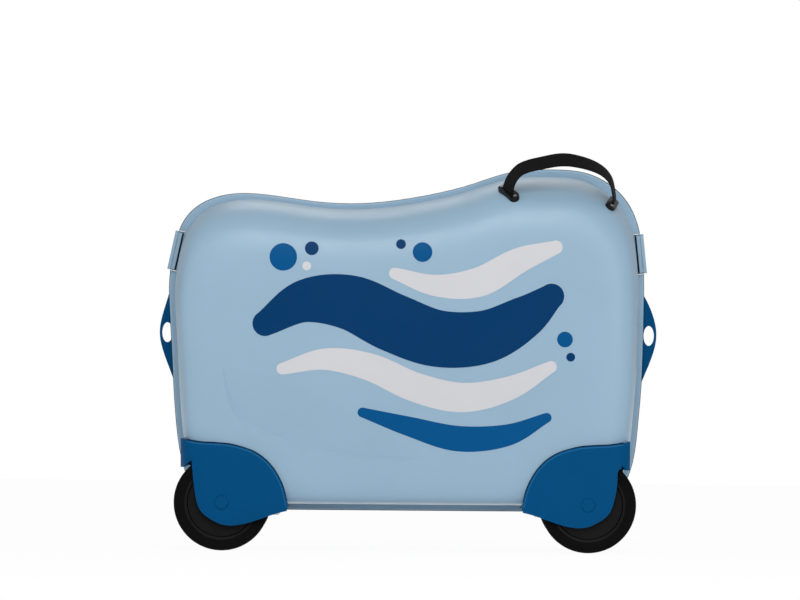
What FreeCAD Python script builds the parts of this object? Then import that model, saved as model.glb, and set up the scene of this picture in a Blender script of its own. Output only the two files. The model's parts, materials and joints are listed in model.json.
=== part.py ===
import FreeCAD, Part
import math
import os
from FreeCAD import Matrix, Vector

# Ride-on suitcase: two moulded half shells on four wheels, hinged along the bottom edge.
# Millimetres. X runs along the case, +X towards its high end. The front half lies at -Y and the
# rear half at +Y. Z is up from the floor, and the origin is on the floor under the middle.

# Rim outline seen from the front: (x, z) from the bottom middle round by the high end
RIM_OUTLINE = [
    (0, 41), (45, 41), (90, 41), (135, 41), (177, 42.4), (214, 58), (231.5, 92), (236.8, 132),
    (239.9, 172),
    (241.3, 215), (241.9, 260), (240.6, 300), (234.5, 337), (216.5, 368), (183, 388),
    (143, 391.8), (103, 388.5),
    (63, 375.8), (23, 365.5), (-17, 358.6), (-57, 355.5), (-97, 357.4), (-137, 362.8), (-177, 364.9),
    (-211, 355.5), (-233, 333), (-243, 298), (-245.6, 262), (-243.2, 218), (-240.8, 175), (-237.8, 134),
    (-231.5, 92), (-214, 58), (-177, 42.4), (-135, 41), (-90, 41), (-45, 41),
]
rim_band = 6.5
rim_depth = 7.0
rim_round = 1.6
half_gap = 0.7
wall = 2.4
shell_depth = 99.0
face_inset_side = 28.0
face_inset_top = 66.0
face_inset_bottom = 12.0
face_crown = 2.5
# Rounding from the rim to the face: (share of the depth, share of the side inset, share of the top inset)
DOME_PROFILE = [(0, 0, 0), (0.3, 0, 0.02), (0.62, 0, 0.12), (0.86, 0.1, 0.32), (1, 0.42, 0.66), (1, 1, 1)]

# Dark seal between the halves
seal_half_thickness = 0.4
seal_proud = 0.6

# Leg recess on both faces: its lower edge from the low end to the middle, seen from the front
RECESS_EDGE = [(-190, 190), (-187, 165), (-176, 136), (-153, 117), (-105, 103), (-50, 96), (15, 95)]
recess_deepest = (-150, 120)
recess_depth = 5.0
recess_end_low = (-190, 196)
recess_end_middle = (16, 95)
recess_face_depth = 100.0
recess_column_top = 260.0
recess_slope = 1.3
recess_reach = 14.0

# Wheels, axles and their housings
wheel_low_end_x = -189.0
wheel_high_end_x = 185.0
wheel_r = 49.0
wheel_width = 22.0
wheel_outer_y = 98.0
tyre_band = 11.0
hub_recess = 3.5
hub_bore_boss_r = 11.0
bush_wall = 2.0
axle_r = 4.0
running_gap = 0.05
axle_head_r = 7.0
axle_head_length = 2.0
axle_head_proud = 0.5
ring_r = 7.0
ring_thickness = 1.0
ring_groove = 0.5
well_gap = 4.0
well_wall = 2.5
well_inner_wall = 2.5
well_inner_gap = 4.0
cover_depth = 103.5
cover_proud = 2.5
cover_wall = 2.2
cover_drop = 56.0
cover_back_y = 52.0
cover_side_z = 84.0
fit_gap = 0.3
axle_boss_r = 9.0
axle_boss_length = 9.0
axle_boss_end_wall = 1.6
axle_cover_boss = 2.4
# Cover outline: (distance outwards from the axle, height), the upper edge and then the lower one
COVER_UPPER = [
    (36, 112.6), (22, 110.4), (6, 109.6), (-12, 107.6), (-34, 100.2), (-50.5, 86.5), (-62, 66.5),
    (-67.5, 44.5),
]
COVER_LOWER = [
    (-66.4, 40.8), (-46.6, 35), (-31.5, 29.8), (-15.5, 26), (-1.5, 26.4), (10.5, 31.6), (21.7, 41),
    (26.2, 52.4), (29.3, 69.5), (29.7, 81.5),
]
COVER_NOTCH = [(30.6, 84.6), (33.6, 86.6), (37.6, 84.8)]
cover_outer_reach = 42.4
# Housing screws: (distance outwards from the axle, height)
HOUSING_SCREWS = [(27.5, 101.5), (-58.5, 62)]
screw_r = 1.5
screw_head_r = 3.2
screw_head_height = 1.8
screw_boss_r = 2.6
screw_bite = 7.0
screw_head_sink = 1.2

# Bottom hinges
hinge_drop = 2.5
hinge_x = 154.0
hinge_length = 45.0
hinge_knuckles = 5
knuckle_gap = 0.4
knuckle_r = 3.5
hinge_pin_r = 1.5
hinge_pin_head_r = 2.4
hinge_pin_head = 1.0
hinge_room_end = 2.0
leaf_thickness = 1.6
leaf_width = 9.6
leaf_seat_gap = 0.3
leaf_rivet_y = 5.35
leaf_rivet_r = 1.3
leaf_rivet_head_r = 1.7
leaf_rivet_head = 1.0
leaf_rivet_pitch = 14.0
leaf_rivet_rise = 1.3

# End latches, in a frame on the rim: along it, outwards and front to back
latch_low_z = 286.0
latch_high_z = 326.5
latch_proud = 3.6
latch_plate = 2.0
latch_notch_depth = 6.3
latch_notch_end_gap = 0.5
latch_front_y = -13.5
latch_hook_length = 4.0
latch_hook_depth = 1.2
latch_pin_n = -0.6
latch_pin_y = 11.5
latch_barrel_r = 2.6
latch_pin_r = 1.2
latch_ear = 2.4
latch_base_thickness = 2.6
latch_seat_gap = 0.2
keeper_length = 38.6
keeper_top = 0.1
keeper_groove_top = -3.6
keeper_groove_back = -11.0
latch_rivet_reach = 10.0
keeper_back_y = -2.0
latch_rivet_r = 1.2
latch_rivet_head_r = 2.2
latch_rivet_head = 0.9

# Tow lugs on both ends of the rear half
lug_reach = 255.4
lug_z = 222.0
lug_top_z = 264.0
lug_bottom_z = 173.0
lug_thickness = 4.0
lug_root = 6.0
lug_hole_width = 10.6
lug_hole_height = 20.4
lug_ring = 2.6
lug_front_y = 0.8
lug_rivet_pitch = 56.0
lug_rivet_inset = 3.2
lug_rivet_r = 1.5
lug_rivet_head_r = 2.6
lug_rivet_head = 1.0

# Webbing carry handle on the front half's shoulder: centre line seen from the front, (x, z)
HANDLE_LINE = [
    (101.8, 366.5), (104.0, 380.0), (111.2, 389.5), (120.8, 394.4), (135.6, 398.0), (150.0, 400.8),
    (160.0, 401.3), (169.5, 400.2), (183.2, 396.8), (194.6, 391.9), (203.2, 384.6),
    (207.8, 375.0), (207.0, 356.5),
]
handle_width = 20.0
handle_thickness = 1.9
handle_lean = 22.0
handle_straight = [-8.0, -4.5, -1.0, 2.5, 4.5]
HANDLE_WIDTH_DIRECTIONS = [(0.5, -0.82, -0.28), (0.0, -0.73, -0.68), (-0.3, -0.86, -0.42)]
anchor_length = 31.0
anchor_width = 11.0
anchor_thickness = 3.0
anchor_slot_gap = 0.7
backing_thickness = 3.0
handle_rivet_r = 1.1
handle_rivet_head_r = 1.9
handle_rivet_head = 0.8
handle_rivet_edge = 3.0

# Packing straps inside the rear half
strap_z = 215.0
strap_y = 34.0
strap_width = 25.0
strap_thickness = 1.6
buckle_width = 34.0
buckle_thickness = 9.0
socket_length = 34.0
plug_length = 22.0
prong_length = 20.0
clamp_length = 10.0
clamp_width = 31.0
clamp_thickness = 7.0

BIG = 400.0
FRONT = Vector(0, -1, 0)
rim_bottom_z = min(z for x, z in RIM_OUTLINE)
rim_top_z = max(z for x, z in RIM_OUTLINE)
rim_half_length = max(abs(x) for x, z in RIM_OUTLINE)
hinge_z = rim_bottom_z - hinge_drop
WHEEL_X = {-1: wheel_low_end_x, 1: wheel_high_end_x}
SIDE_NAMES = {-1: "left", 1: "right"}


def smooth_poles(points):
    """Poles of the smooth closed curve through (x, z) points, found by repeated passes round the loop."""
    poles = list(points)
    count = len(points)
    for sweep in range(40):
        for i in range(count):
            before = poles[i - 1]
            after = poles[(i + 1) % count]
            poles[i] = tuple((6 * points[i][k] - before[k] - after[k]) / 4 for k in (0, 1))
    return poles


RIM_POLES = smooth_poles(RIM_OUTLINE)


def outline_poles(depth, inset_side, inset_top, inset_bottom):
    """Poles of the rim outline drawn in at its sides, top and bottom, at a depth in front of the parting plane."""
    low = rim_bottom_z + inset_bottom
    high = rim_top_z - inset_top
    x_factor = 1 - inset_side / rim_half_length
    z_factor = (high - low) / (rim_top_z - rim_bottom_z)
    return [Vector(x * x_factor, -depth, low + (z - rim_bottom_z) * z_factor) for x, z in RIM_POLES]


def outline_curve(depth, inset_side, inset_top, inset_bottom):
    """That outline as a closed curve."""
    curve = Part.BSplineCurve()
    curve.buildFromPoles(outline_poles(depth, inset_side, inset_top, inset_bottom), True, 3)
    return curve


def even_wire(depth, inset):
    """The rim outline drawn in by the same amount all round."""
    return Part.Wire([outline_curve(depth, inset, inset, inset).toShape()])


def prism(wire, length):
    """Solid from a closed wire in an XZ plane, running towards the front."""
    return Part.Face(wire).extrude(FRONT * length)


def dome(depth_end, grow, crown=0.0, drop=0.0, depth_start=rim_depth):
    """Domed body of one half: one smooth wall from the rim round to the face, closed by two flat ends."""
    run = depth_end - depth_start
    rows = []
    for depth_share, side_share, top_share in DOME_PROFILE:
        rows.append((depth_start + depth_share * run, side_share, top_share, 0.0))
    if crown > 0:
        rows[-1] = (depth_end + 0.5 * crown, 1.0, 1.0, 0.15)
        rows.append((depth_end + crown, 1.0, 1.0, 0.7))
    middle = (rim_top_z - rim_bottom_z) / 2
    poles = []
    for depth, side_share, top_share, centred in rows:
        side = rim_band - grow + side_share * face_inset_side
        top = rim_band - grow + top_share * face_inset_top
        bottom = rim_band - grow + side_share * face_inset_bottom - drop
        side += centred * (rim_half_length - side)
        top += centred * (middle - top)
        bottom += centred * (middle - bottom)
        poles.append(outline_poles(depth, side, top, bottom))
    ring = outline_curve(depth_start, 0, 0, 0)
    spans = len(rows) - 3
    surface = Part.BSplineSurface()
    surface.buildFromPolesMultsKnots(
        poles, [4] + [1] * (spans - 1) + [4], ring.getMultiplicities(),
        [float(i) for i in range(spans + 1)], ring.getKnots(), False, True, 3, ring.Degree,
    )
    side_face = surface.toShape()
    faces = [side_face]
    for v in (0.0, float(spans)):
        faces.append(Part.Face(Part.Wire([surface.uIso(v).toShape()])))
    shell = Part.makeShell(faces)
    shell.sewShape()
    solid = Part.Solid(shell)
    if solid.Volume < 0:
        solid.reverse()
    return solid


def cylinder(radius, start, direction, length):
    """Round bar."""
    return Part.makeCylinder(radius, length, start, direction)


def y_bar(radius, x, z, y_from, y_to):
    """Round bar along Y between two places."""
    return cylinder(radius, Vector(x, min(y_from, y_to), z), Vector(0, 1, 0), abs(y_to - y_from))


def box(x0, x1, y0, y1, z0, z1):
    """Box between two corners, given in any order."""
    low = Vector(min(x0, x1), min(y0, y1), min(z0, z1))
    return Part.makeBox(abs(x1 - x0), abs(y1 - y0), abs(z1 - z0), low)


def mirrored(shape):
    """The same piece on the rear half."""
    return shape.mirror(Vector(0, 0, 0), Vector(0, 1, 0))


def joined(shapes):
    """One clean solid from touching or overlapping solids."""
    result = shapes[0]
    if len(shapes) > 1:
        result = result.fuse(shapes[1:])
    return result.removeSplitter()


def group(shapes):
    """Separate solids kept together in one node."""
    return Part.makeCompound(shapes)


def rim_x(z, side):
    """Where the rim outline crosses a height, at one end of the case."""
    edge = Part.makeLine(Vector(0, 0, z), Vector(side * BIG, 0, z))
    return edge.distToShape(RIM_WIRE)[1][0][0].x


RIM_WIRE = even_wire(0, 0)


def recess_outline(y, shift):
    """Outline of the leg recess at one depth: its edge moves inwards with the depth."""
    move = recess_slope * (y + recess_face_depth - shift) - shift
    edge = [Vector(px + move, y, pz + move) for px, pz in RECESS_EDGE]
    curve = Part.BSplineCurve()
    curve.interpolate(edge)
    far = Vector(edge[-1].x, y, recess_column_top)
    near = Vector(edge[0].x, y, recess_column_top)
    lines = [Part.makeLine(edge[-1], far), Part.makeLine(far, near), Part.makeLine(near, edge[0])]
    return Part.Wire([curve.toShape()] + lines)


def recess_cutter(shift):
    """Scoop of the leg recess: deepest near the low bottom corner, fading out at both ends of its edge."""
    ends = [recess_outline(-recess_face_depth + y, shift) for y in (-recess_reach, recess_reach)]
    column = Part.makeLoft(ends, True, True)
    face_y = -recess_face_depth + shift
    deep = Vector(recess_deepest[0], face_y + recess_depth, recess_deepest[1])
    low_end = Vector(recess_end_low[0], face_y, recess_end_low[1])
    middle_end = Vector(recess_end_middle[0], face_y, recess_end_middle[1])
    normal = (low_end - deep).cross(middle_end - deep)
    if normal.y > 0:
        normal = normal * -1
    slab = Part.makeBox(2 * BIG, 2 * BIG, BIG, Vector(-BIG, -BIG, 0))
    slab.Placement = FreeCAD.Placement(deep, FreeCAD.Rotation(Vector(0, 0, 1), normal))
    return column.common(slab)


def latch_frame(side):
    """Origin and directions of a latch: middle of its stretch of rim, along it, and outwards."""
    low = Vector(rim_x(latch_low_z, side), 0, latch_low_z)
    high = Vector(rim_x(latch_high_z, side), 0, latch_high_z)
    along = (high - low).normalize()
    outwards = Vector(side * along.z, 0, -side * along.x)
    return (low + high) * 0.5, along, outwards


def latch_block(side, a0, a1, y0, y1, n0, n1):
    """Box in a latch's frame: along the rim, front to back, outwards."""
    origin, along, outwards = latch_frame(side)
    block = Part.makeBox(a1 - a0, y1 - y0, n1 - n0, Vector(a0, y0, n0))
    return in_frame(block, origin, along, Vector(0, 1, 0), outwards)


def in_frame(shape, origin, x_dir, y_dir, z_dir):
    """A shape drawn at the origin, moved to a frame. A left-handed frame mirrors it."""
    matrix = Matrix(
        x_dir.x, y_dir.x, z_dir.x, origin.x,
        x_dir.y, y_dir.y, z_dir.y, origin.y,
        x_dir.z, y_dir.z, z_dir.z, origin.z,
        0, 0, 0, 1,
    )
    return shape.transformGeometry(matrix)


def latch_bar(side, a0, a1, y, n, radius):
    """Round bar along the rim in a latch's frame."""
    origin, along, outwards = latch_frame(side)
    start = origin + along * a0 + Vector(0, y, 0) + outwards * n
    return cylinder(radius, start, along, a1 - a0)


latch_half = (latch_high_z - latch_low_z) / 2
latch_notch_floor = -latch_notch_depth


def latch_notch(side):
    """Room for a latch in the rims of both halves and in the seal."""
    reach = latch_half + latch_notch_end_gap
    depth = rim_depth + half_gap
    return latch_block(side, -reach, reach, -depth, depth, latch_notch_floor, 12)


def hinge_room():
    """Room for the hinge knuckles in the rims and in the seal."""
    rooms = []
    for side in (-1, 1):
        start = Vector(side * hinge_x - hinge_length / 2 - hinge_room_end, 0, hinge_z)
        length = hinge_length + 2 * hinge_room_end
        rooms.append(cylinder(knuckle_r + fit_gap, start, Vector(1, 0, 0), length))
    return rooms


def handle_anchor_frame(end):
    """Surface point, outward normal and slot direction of a handle anchor: end 0 low, end 2 high."""
    x, z = HANDLE_LINE[0 if end == 0 else -1]
    surface = dome_point(x, z)
    step = 1.0
    along_x = dome_point(x + step, z) - dome_point(x - step, z)
    along_z = dome_point(x, z + step) - dome_point(x, z - step)
    normal = along_x.cross(along_z).normalize()
    if normal.y > 0:
        normal = normal * -1
    width = Vector(*HANDLE_WIDTH_DIRECTIONS[end])
    width = (width - normal * width.dot(normal)).normalize()
    return surface, normal, width


def dome_point(x, z):
    """The front shell's surface straight behind a place seen from the front."""
    line = Part.makeLine(Vector(x, -BIG, z), Vector(x, -rim_depth, z))
    hits = DOME.common(line)
    front = min(hits.Vertexes, key=lambda v: v.Y)
    return Vector(x, front.Y, z)


def anchor_slab(end, length, width, low, high):
    """Rounded slab on a handle anchor's frame between two heights over the surface."""
    surface, normal, along = handle_anchor_frame(end)
    across = normal.cross(along)
    r = width / 2
    reach = length / 2 - r
    slab = Part.makeBox(2 * reach, width, high - low, Vector(-reach, -r, low))
    caps = [Part.makeCylinder(r, high - low, Vector(s * reach, 0, low)) for s in (-1, 1)]
    slab = slab.fuse(caps).removeSplitter()
    return in_frame(slab, surface, along, across, normal)


def anchor_bar(end, offset, low, high, radius):
    """Round bar along a handle anchor's normal, offset along its slot."""
    surface, normal, along = handle_anchor_frame(end)
    return cylinder(radius, surface + along * offset + normal * low, normal, high - low)


handle_rivet_offset = anchor_length / 2 - handle_rivet_edge


def handle_slot(end, gap):
    """Room for the webbing through an anchor, the shell and the backing plate."""
    surface, normal, along = handle_anchor_frame(end)
    across = normal.cross(along)
    length = handle_width + 2 * gap
    width = handle_thickness + 2 * gap
    slot = Part.makeBox(length, width, 30, Vector(-length / 2, -width / 2, -20))
    return in_frame(slot, surface, along, across, normal)


def plain_shell():
    """Front half shell before its holes are cut."""
    rim = prism(even_wire(half_gap, 0), rim_depth - half_gap)
    edges = [e for e in rim.Edges if abs(e.BoundBox.YMax - e.BoundBox.YMin) < 0.01]
    rim = rim.makeFillet(rim_round, edges)
    inside = dome(shell_depth - wall, -wall, face_crown, depth_start=-5.0)
    outer = DOME.cut(recess_cutter(0))
    inside = inside.cut(recess_cutter(wall))
    return rim.fuse(outer).cut(inside).removeSplitter()


def well_space(side, extra):
    """Space round a front wheel, from the well's inner wall outwards."""
    radius = wheel_r + well_gap + extra
    inner_y = wheel_outer_y - wheel_width - well_inner_gap - extra
    return y_bar(radius, WHEEL_X[side], wheel_r, -inner_y, -130)


def shell(front):
    """Half shell with its wheel corners, screw holes, latch notches and hinge room."""
    shape = plain_shell()
    cuts = []
    for side in (-1, 1):
        cuts.append(well_space(side, well_wall + fit_gap))
        boss_y = wheel_outer_y - wheel_width - well_inner_gap - axle_boss_length - fit_gap
        cuts[-1] = cuts[-1].fuse(y_bar(axle_boss_r + fit_gap, WHEEL_X[side], wheel_r, -boss_y, -130))
        for out, height in HOUSING_SCREWS:
            x = WHEEL_X[side] + side * out
            cuts.append(y_bar(screw_boss_r + fit_gap, x, height, -70, -130))
            seat = screw_seat_y(side, out, height) - screw_head_sink
            cuts.append(y_bar(screw_head_r + fit_gap, x, height, -60, -seat - 0.05))
    for cut in cuts:
        shape = shape.cut(cut)
    if not front:
        shape = mirrored(shape)
    for side in (-1, 1):
        shape = shape.cut(latch_notch(side))
        for part in latch_rivet_bars(side, latch_rivet_r + 0.05, front):
            shape = shape.cut(part)
    for room in hinge_room() + leaf_rivet_bars(leaf_rivet_r + 0.05, front):
        shape = shape.cut(room)
    if front:
        for end in (0, 2):
            shape = shape.cut(handle_slot(end, anchor_slot_gap))
            for offset in (-handle_rivet_offset, handle_rivet_offset):
                shape = shape.cut(anchor_bar(end, offset, -20, 20, handle_rivet_r + 0.05))
    else:
        for side in (-1, 1):
            shape = shape.cut(lug_pocket(side))
            for bar in lug_rivet_bars(side, lug_rivet_r + 0.05, -5, 30):
                shape = shape.cut(bar)
    return shape


def rim_seal():
    """Seal ring on the parting plane, a little proud of the rims."""
    ring = prism(even_wire(-seal_half_thickness, -seal_proud), 2 * seal_half_thickness)
    ring = ring.cut(prism(even_wire(-5, rim_band + wall), 10))
    for side in (-1, 1):
        ring = ring.cut(latch_notch(side))
    for room in hinge_room():
        ring = ring.cut(room)
    return ring


def cover_outline(side, inset):
    """Closed outline of a wheel cover, drawn in by inset, as a wire on the parting plane."""
    def place(point):
        return Vector(WHEEL_X[side] + side * point[0], 0, point[1])
    upper = [place(p) for p in COVER_UPPER]
    lower = [place(p) for p in COVER_LOWER]
    notch = [place(p) for p in COVER_NOTCH]
    far_high = place((cover_outer_reach, COVER_UPPER[0][1] + 1.4))
    far_low = place((cover_outer_reach, COVER_NOTCH[-1][1]))
    upper_curve = Part.BSplineCurve()
    upper_curve.interpolate(upper)
    lower_curve = Part.BSplineCurve()
    lower_curve.interpolate(lower)
    edges = [upper_curve.toShape(), Part.makeLine(upper[-1], lower[0]), lower_curve.toShape()]
    edges.append(Part.makeLine(lower[-1], notch[0]))
    edges.append(Part.Arc(notch[0], notch[1], notch[2]).toShape())
    edges.append(Part.makeLine(notch[2], far_low))
    edges.append(Part.makeLine(far_low, far_high))
    edges.append(Part.makeLine(far_high, upper[0]))
    wire = Part.Wire(edges)
    if inset > 0:
        wire = Part.Wire([redrawn(edge) for edge in wire.makeOffset2D(-inset).OrderedEdges])
    return wire


def redrawn(edge):
    """An offset edge as a plain line or one smooth curve through its points."""
    ends = edge.discretize(2)
    if ends[0].distanceToPoint(ends[1]) > edge.Length - 0.001:
        return Part.makeLine(ends[0], ends[1])
    curve = Part.BSplineCurve()
    curve.interpolate(edge.discretize(max(5, int(edge.Length / 4))))
    return curve.toShape()


def cover_column(side, inset):
    """Column of a cover's outline: all of it beside the wheel, and only the side above the notch behind."""
    column = prism(cover_outline(side, inset), 130)
    well_y = wheel_outer_y - wheel_width - well_inner_gap
    low_back = box(-BIG, BIG, 0, -well_y, -10, cover_side_z)
    behind = box(-BIG, BIG, 5, -cover_back_y - inset, -10, BIG)
    return column.cut(low_back).cut(behind)


def wheel_housing(side):
    """Front wheel housing: corner cover, wheel well and the two axle bosses, in one moulding."""
    skin = dome(cover_depth, cover_proud, drop=cover_drop)
    solid = skin.common(cover_column(side, 0))
    hollow = dome(cover_depth - cover_wall, cover_proud - cover_wall, drop=cover_drop)
    hollow = hollow.common(cover_column(side, cover_wall))
    x = WHEEL_X[side]
    inner_y = wheel_outer_y - wheel_width - well_inner_gap
    back_y = inner_y - well_inner_wall
    plate_y = cover_depth - cover_wall
    drum = y_bar(wheel_r + well_gap + well_wall, x, wheel_r, -back_y, -plate_y - 0.5)
    fork = prism(cover_outline(side, 0), 130).common(
        y_bar(wheel_r + well_gap + well_wall, x, wheel_r, -back_y, -inner_y)
    )
    space = y_bar(wheel_r + well_gap, x, wheel_r, -inner_y, -plate_y)
    shape = solid.cut(hollow).cut(dome(shell_depth, fit_gap, face_crown))
    shape = shape.fuse([drum.common(DOME), drum.common(solid), fork])
    for out, height in HOUSING_SCREWS:
        seat = screw_seat_y(side, out, height)
        shape = shape.fuse(y_bar(screw_boss_r, x + side * out, height, -seat, -plate_y - 0.5))
    shape = shape.fuse(y_bar(axle_boss_r, x, wheel_r, -inner_y + axle_boss_length, -inner_y - 0.5))
    shape = shape.cut(space)
    shape = shape.fuse(y_bar(axle_boss_r, x, wheel_r, -inner_y - 1.5, -inner_y + 1))
    shape = shape.fuse(y_bar(axle_boss_r, x, wheel_r, -plate_y + axle_cover_boss, -cover_depth))
    bore_end = inner_y - axle_boss_length + axle_boss_end_wall
    shape = shape.cut(y_bar(axle_r + running_gap, x, wheel_r, -bore_end, -cover_depth - 1))
    seat_y = cover_depth + axle_head_proud - axle_head_length
    shape = shape.cut(y_bar(axle_head_r + 0.2, x, wheel_r, -seat_y, -cover_depth - 1))
    for out, height in HOUSING_SCREWS:
        seat = screw_seat_y(side, out, height)
        shape = shape.cut(
            y_bar(screw_r + 0.05, x + side * out, height, -seat + 1, -seat - screw_bite - 0.3)
        )
    return shape.removeSplitter()


def screw_seat_y(side, out, height):
    """Depth of a housing screw's seat: the end of its boss, just inside the shell's wall."""
    surface = dome_point(WHEEL_X[side] + side * out, height)
    return -surface.y - wall


def housing_screws():
    """Screws that hold both front housings, driven from inside the shell."""
    screws = []
    for side in (-1, 1):
        for out, height in HOUSING_SCREWS:
            x = WHEEL_X[side] + side * out
            seat = screw_seat_y(side, out, height) - screw_head_sink
            head = y_bar(screw_head_r, x, height, -seat + screw_head_height, -seat)
            head = head.cut(y_bar(screw_head_r / 2, x, height, -seat + screw_head_height, -seat + 0.8))
            screws.append(
                head.fuse(y_bar(screw_r, x, height, -seat, -seat - screw_bite)).removeSplitter()
            )
    return screws


def wheel_y_inner():
    """Depth of a wheel's inner side."""
    return wheel_outer_y - wheel_width


def spun(profile, x):
    """Ring about a wheel axle from (radius, depth) corners."""
    corners = [Vector(x + r, -y, wheel_r) for r, y in profile]
    face = Part.Face(Part.makePolygon(corners + corners[:1]))
    return face.revolve(Vector(x, 0, wheel_r), Vector(0, 1, 0), 360)


def tyre(x):
    """Rubber tyre with rounded shoulders."""
    inner = wheel_r - tyre_band
    y0 = wheel_y_inner()
    y1 = wheel_outer_y
    ring = spun([(inner, y0 + 0.6), (wheel_r, y0), (wheel_r, y1), (inner, y1 - 0.6)], x)
    edges = [e for e in ring.Edges if e.BoundBox.XLength > 2 * wheel_r - 0.5 and e.BoundBox.YLength < 0.1]
    return ring.makeFillet(3.5, edges)


def hub(x):
    """Hub disc with a rim under the tyre and a bore boss."""
    outer = wheel_r - tyre_band
    y0 = wheel_y_inner()
    y1 = wheel_outer_y
    bore = axle_r + running_gap + bush_wall
    profile = [
        (bore, y0 + 0.5), (hub_bore_boss_r, y0 + 0.5), (hub_bore_boss_r, y0 + 11), (outer - 4, y0 + 11),
        (outer - 4, y0 + 1.2), (outer, y0 + 0.6), (outer, y1 - 0.6), (outer - 2.5, y1 - 0.9),
        (outer - 3.5, y1 - hub_recess), (hub_bore_boss_r, y1 - hub_recess - 1.0),
        (hub_bore_boss_r - 1.5, y1 - 1.5), (bore, y1 - 1.5),
    ]
    return spun(profile, x)


def bush(x):
    """Sleeve pressed into the hub, turning on the axle."""
    inner = axle_r + running_gap
    y0 = wheel_y_inner() + 0.3
    y1 = wheel_outer_y - 1.3
    return spun([(inner, y0), (inner + bush_wall, y0), (inner + bush_wall, y1), (inner, y1)], x)


def ring_y():
    """Depth of a retaining ring's inner side, just outside the well's boss."""
    return wheel_outer_y - wheel_width - well_inner_gap + 1.8


def axle(x):
    """Axle pin: its head sits in the cover, its end in the well's inner boss, with a groove for its ring."""
    inner_y = wheel_outer_y - wheel_width - well_inner_gap
    end_y = inner_y - axle_boss_length + axle_boss_end_wall + fit_gap
    face_y = cover_depth + axle_head_proud
    head_y = face_y - axle_head_length
    g0 = ring_y() - 0.1
    g1 = ring_y() + ring_thickness + 0.1
    profile = [
        (0, face_y), (axle_head_r - 0.8, face_y), (axle_head_r, face_y - 0.6),
        (axle_head_r, head_y), (axle_r, head_y),
        (axle_r, g1), (axle_r - ring_groove, g1), (axle_r - ring_groove, g0), (axle_r, g0),
        (axle_r, end_y + 0.8), (axle_r - 0.8, end_y), (0, end_y),
    ]
    return spun(profile, x)


def axle_ring(x):
    """Split ring snapped into the axle's groove."""
    y0 = ring_y()
    inner = axle_r - ring_groove + 0.05
    ring = spun(
        [(inner, y0), (ring_r, y0), (ring_r, y0 + ring_thickness), (inner, y0 + ring_thickness)], x,
    )
    return ring.cut(box(x - 2.4, x + 2.4, -y0 + 1, -y0 - ring_thickness - 1, wheel_r - 20, wheel_r))


def knuckle_spans(side):
    """X spans of a hinge's knuckles, from the low end to the high end."""
    pitch = hinge_length / hinge_knuckles
    start = side * hinge_x - hinge_length / 2
    spans = []
    for i in range(hinge_knuckles):
        spans.append((start + i * pitch + knuckle_gap / 2, start + (i + 1) * pitch - knuckle_gap / 2))
    return spans


def leaf_rivet_places(side):
    """X places of a leaf's rivets."""
    return [side * hinge_x + k * leaf_rivet_pitch for k in (-1, 0, 1)]


def leaf_rivet_bars(radius, front):
    """Bars through the rim for the leaf rivets of one half."""
    y = -leaf_rivet_y if front else leaf_rivet_y
    bars = []
    for side in (-1, 1):
        for x in leaf_rivet_places(side):
            start = Vector(x, y, rim_bottom_z - 5)
            bars.append(cylinder(radius, start, Vector(0, 0, 1), 25))
    return bars


leaf_top_z = rim_bottom_z - leaf_seat_gap


def hinge_leaf(front):
    """Both hinge leaves of one half: a plate under the rim with every second knuckle."""
    leaves = []
    sign = -1 if front else 1
    for side in (-1, 1):
        x0 = side * hinge_x - hinge_length / 2
        plate = box(x0, x0 + hinge_length, 0, sign * leaf_width, leaf_top_z - leaf_thickness, leaf_top_z)
        for i, (k0, k1) in enumerate(knuckle_spans(side)):
            own = (i % 2 == 1) == front
            if own:
                barrel = cylinder(knuckle_r, Vector(k0, 0, hinge_z), Vector(1, 0, 0), k1 - k0)
                plate = plate.fuse(barrel)
        for i, (k0, k1) in enumerate(knuckle_spans(side)):
            if (i % 2 == 1) != front:
                start = Vector(k0 - knuckle_gap, 0, hinge_z)
                room = cylinder(knuckle_r + fit_gap, start, Vector(1, 0, 0), k1 - k0 + 2 * knuckle_gap)
                side_room = box(k0 - knuckle_gap, k1 + knuckle_gap, 0, -sign * 10, 30, 50)
                plate = plate.cut(room).cut(side_room)
        plate = plate.cut(
            box(x0 - 5, x0 + hinge_length + 5, 0, -sign * 1.2 * knuckle_r, hinge_z + 0.5, 60)
        )
        bore = Vector(x0 - 5, 0, hinge_z)
        plate = plate.cut(cylinder(hinge_pin_r + running_gap, bore, Vector(1, 0, 0), hinge_length + 10))
        for x in leaf_rivet_places(side):
            start = Vector(x, sign * leaf_rivet_y, 30)
            plate = plate.cut(cylinder(leaf_rivet_r + 0.05, start, Vector(0, 0, 1), 20))
        leaves.append(plate.removeSplitter())
    return group(leaves)


def leaf_rivets(front):
    """Rivets that hold both leaves of one half to its rim."""
    y = -leaf_rivet_y if front else leaf_rivet_y
    up = Vector(0, 0, 1)
    low = leaf_top_z - leaf_thickness
    high = rim_bottom_z + rim_band + wall + leaf_rivet_rise
    rivets = []
    for side in (-1, 1):
        for x in leaf_rivet_places(side):
            shank = cylinder(
                leaf_rivet_r, Vector(x, y, low - leaf_rivet_head), up, high - low + 2 * leaf_rivet_head,
            )
            foot = cylinder(leaf_rivet_head_r, Vector(x, y, low - leaf_rivet_head), up, leaf_rivet_head)
            head = cylinder(leaf_rivet_head_r, Vector(x, y, high), up, leaf_rivet_head)
            rivets.append(joined([shank, foot, head]))
    return group(rivets)


def hinge_pins():
    """One headed pin through each hinge."""
    pins = []
    along = Vector(1, 0, 0)
    for side in (-1, 1):
        x0 = side * hinge_x - hinge_length / 2 - 0.2
        pin = cylinder(
            hinge_pin_r, Vector(x0 - hinge_pin_head, 0, hinge_z), along,
            hinge_length + 0.4 + 2 * hinge_pin_head,
        )
        ends = []
        for start in (x0 - hinge_pin_head, x0 + hinge_length + 0.4):
            ends.append(cylinder(hinge_pin_head_r, Vector(start, 0, hinge_z), along, hinge_pin_head))
        pins.append(joined([pin] + ends))
    return group(pins)


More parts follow.
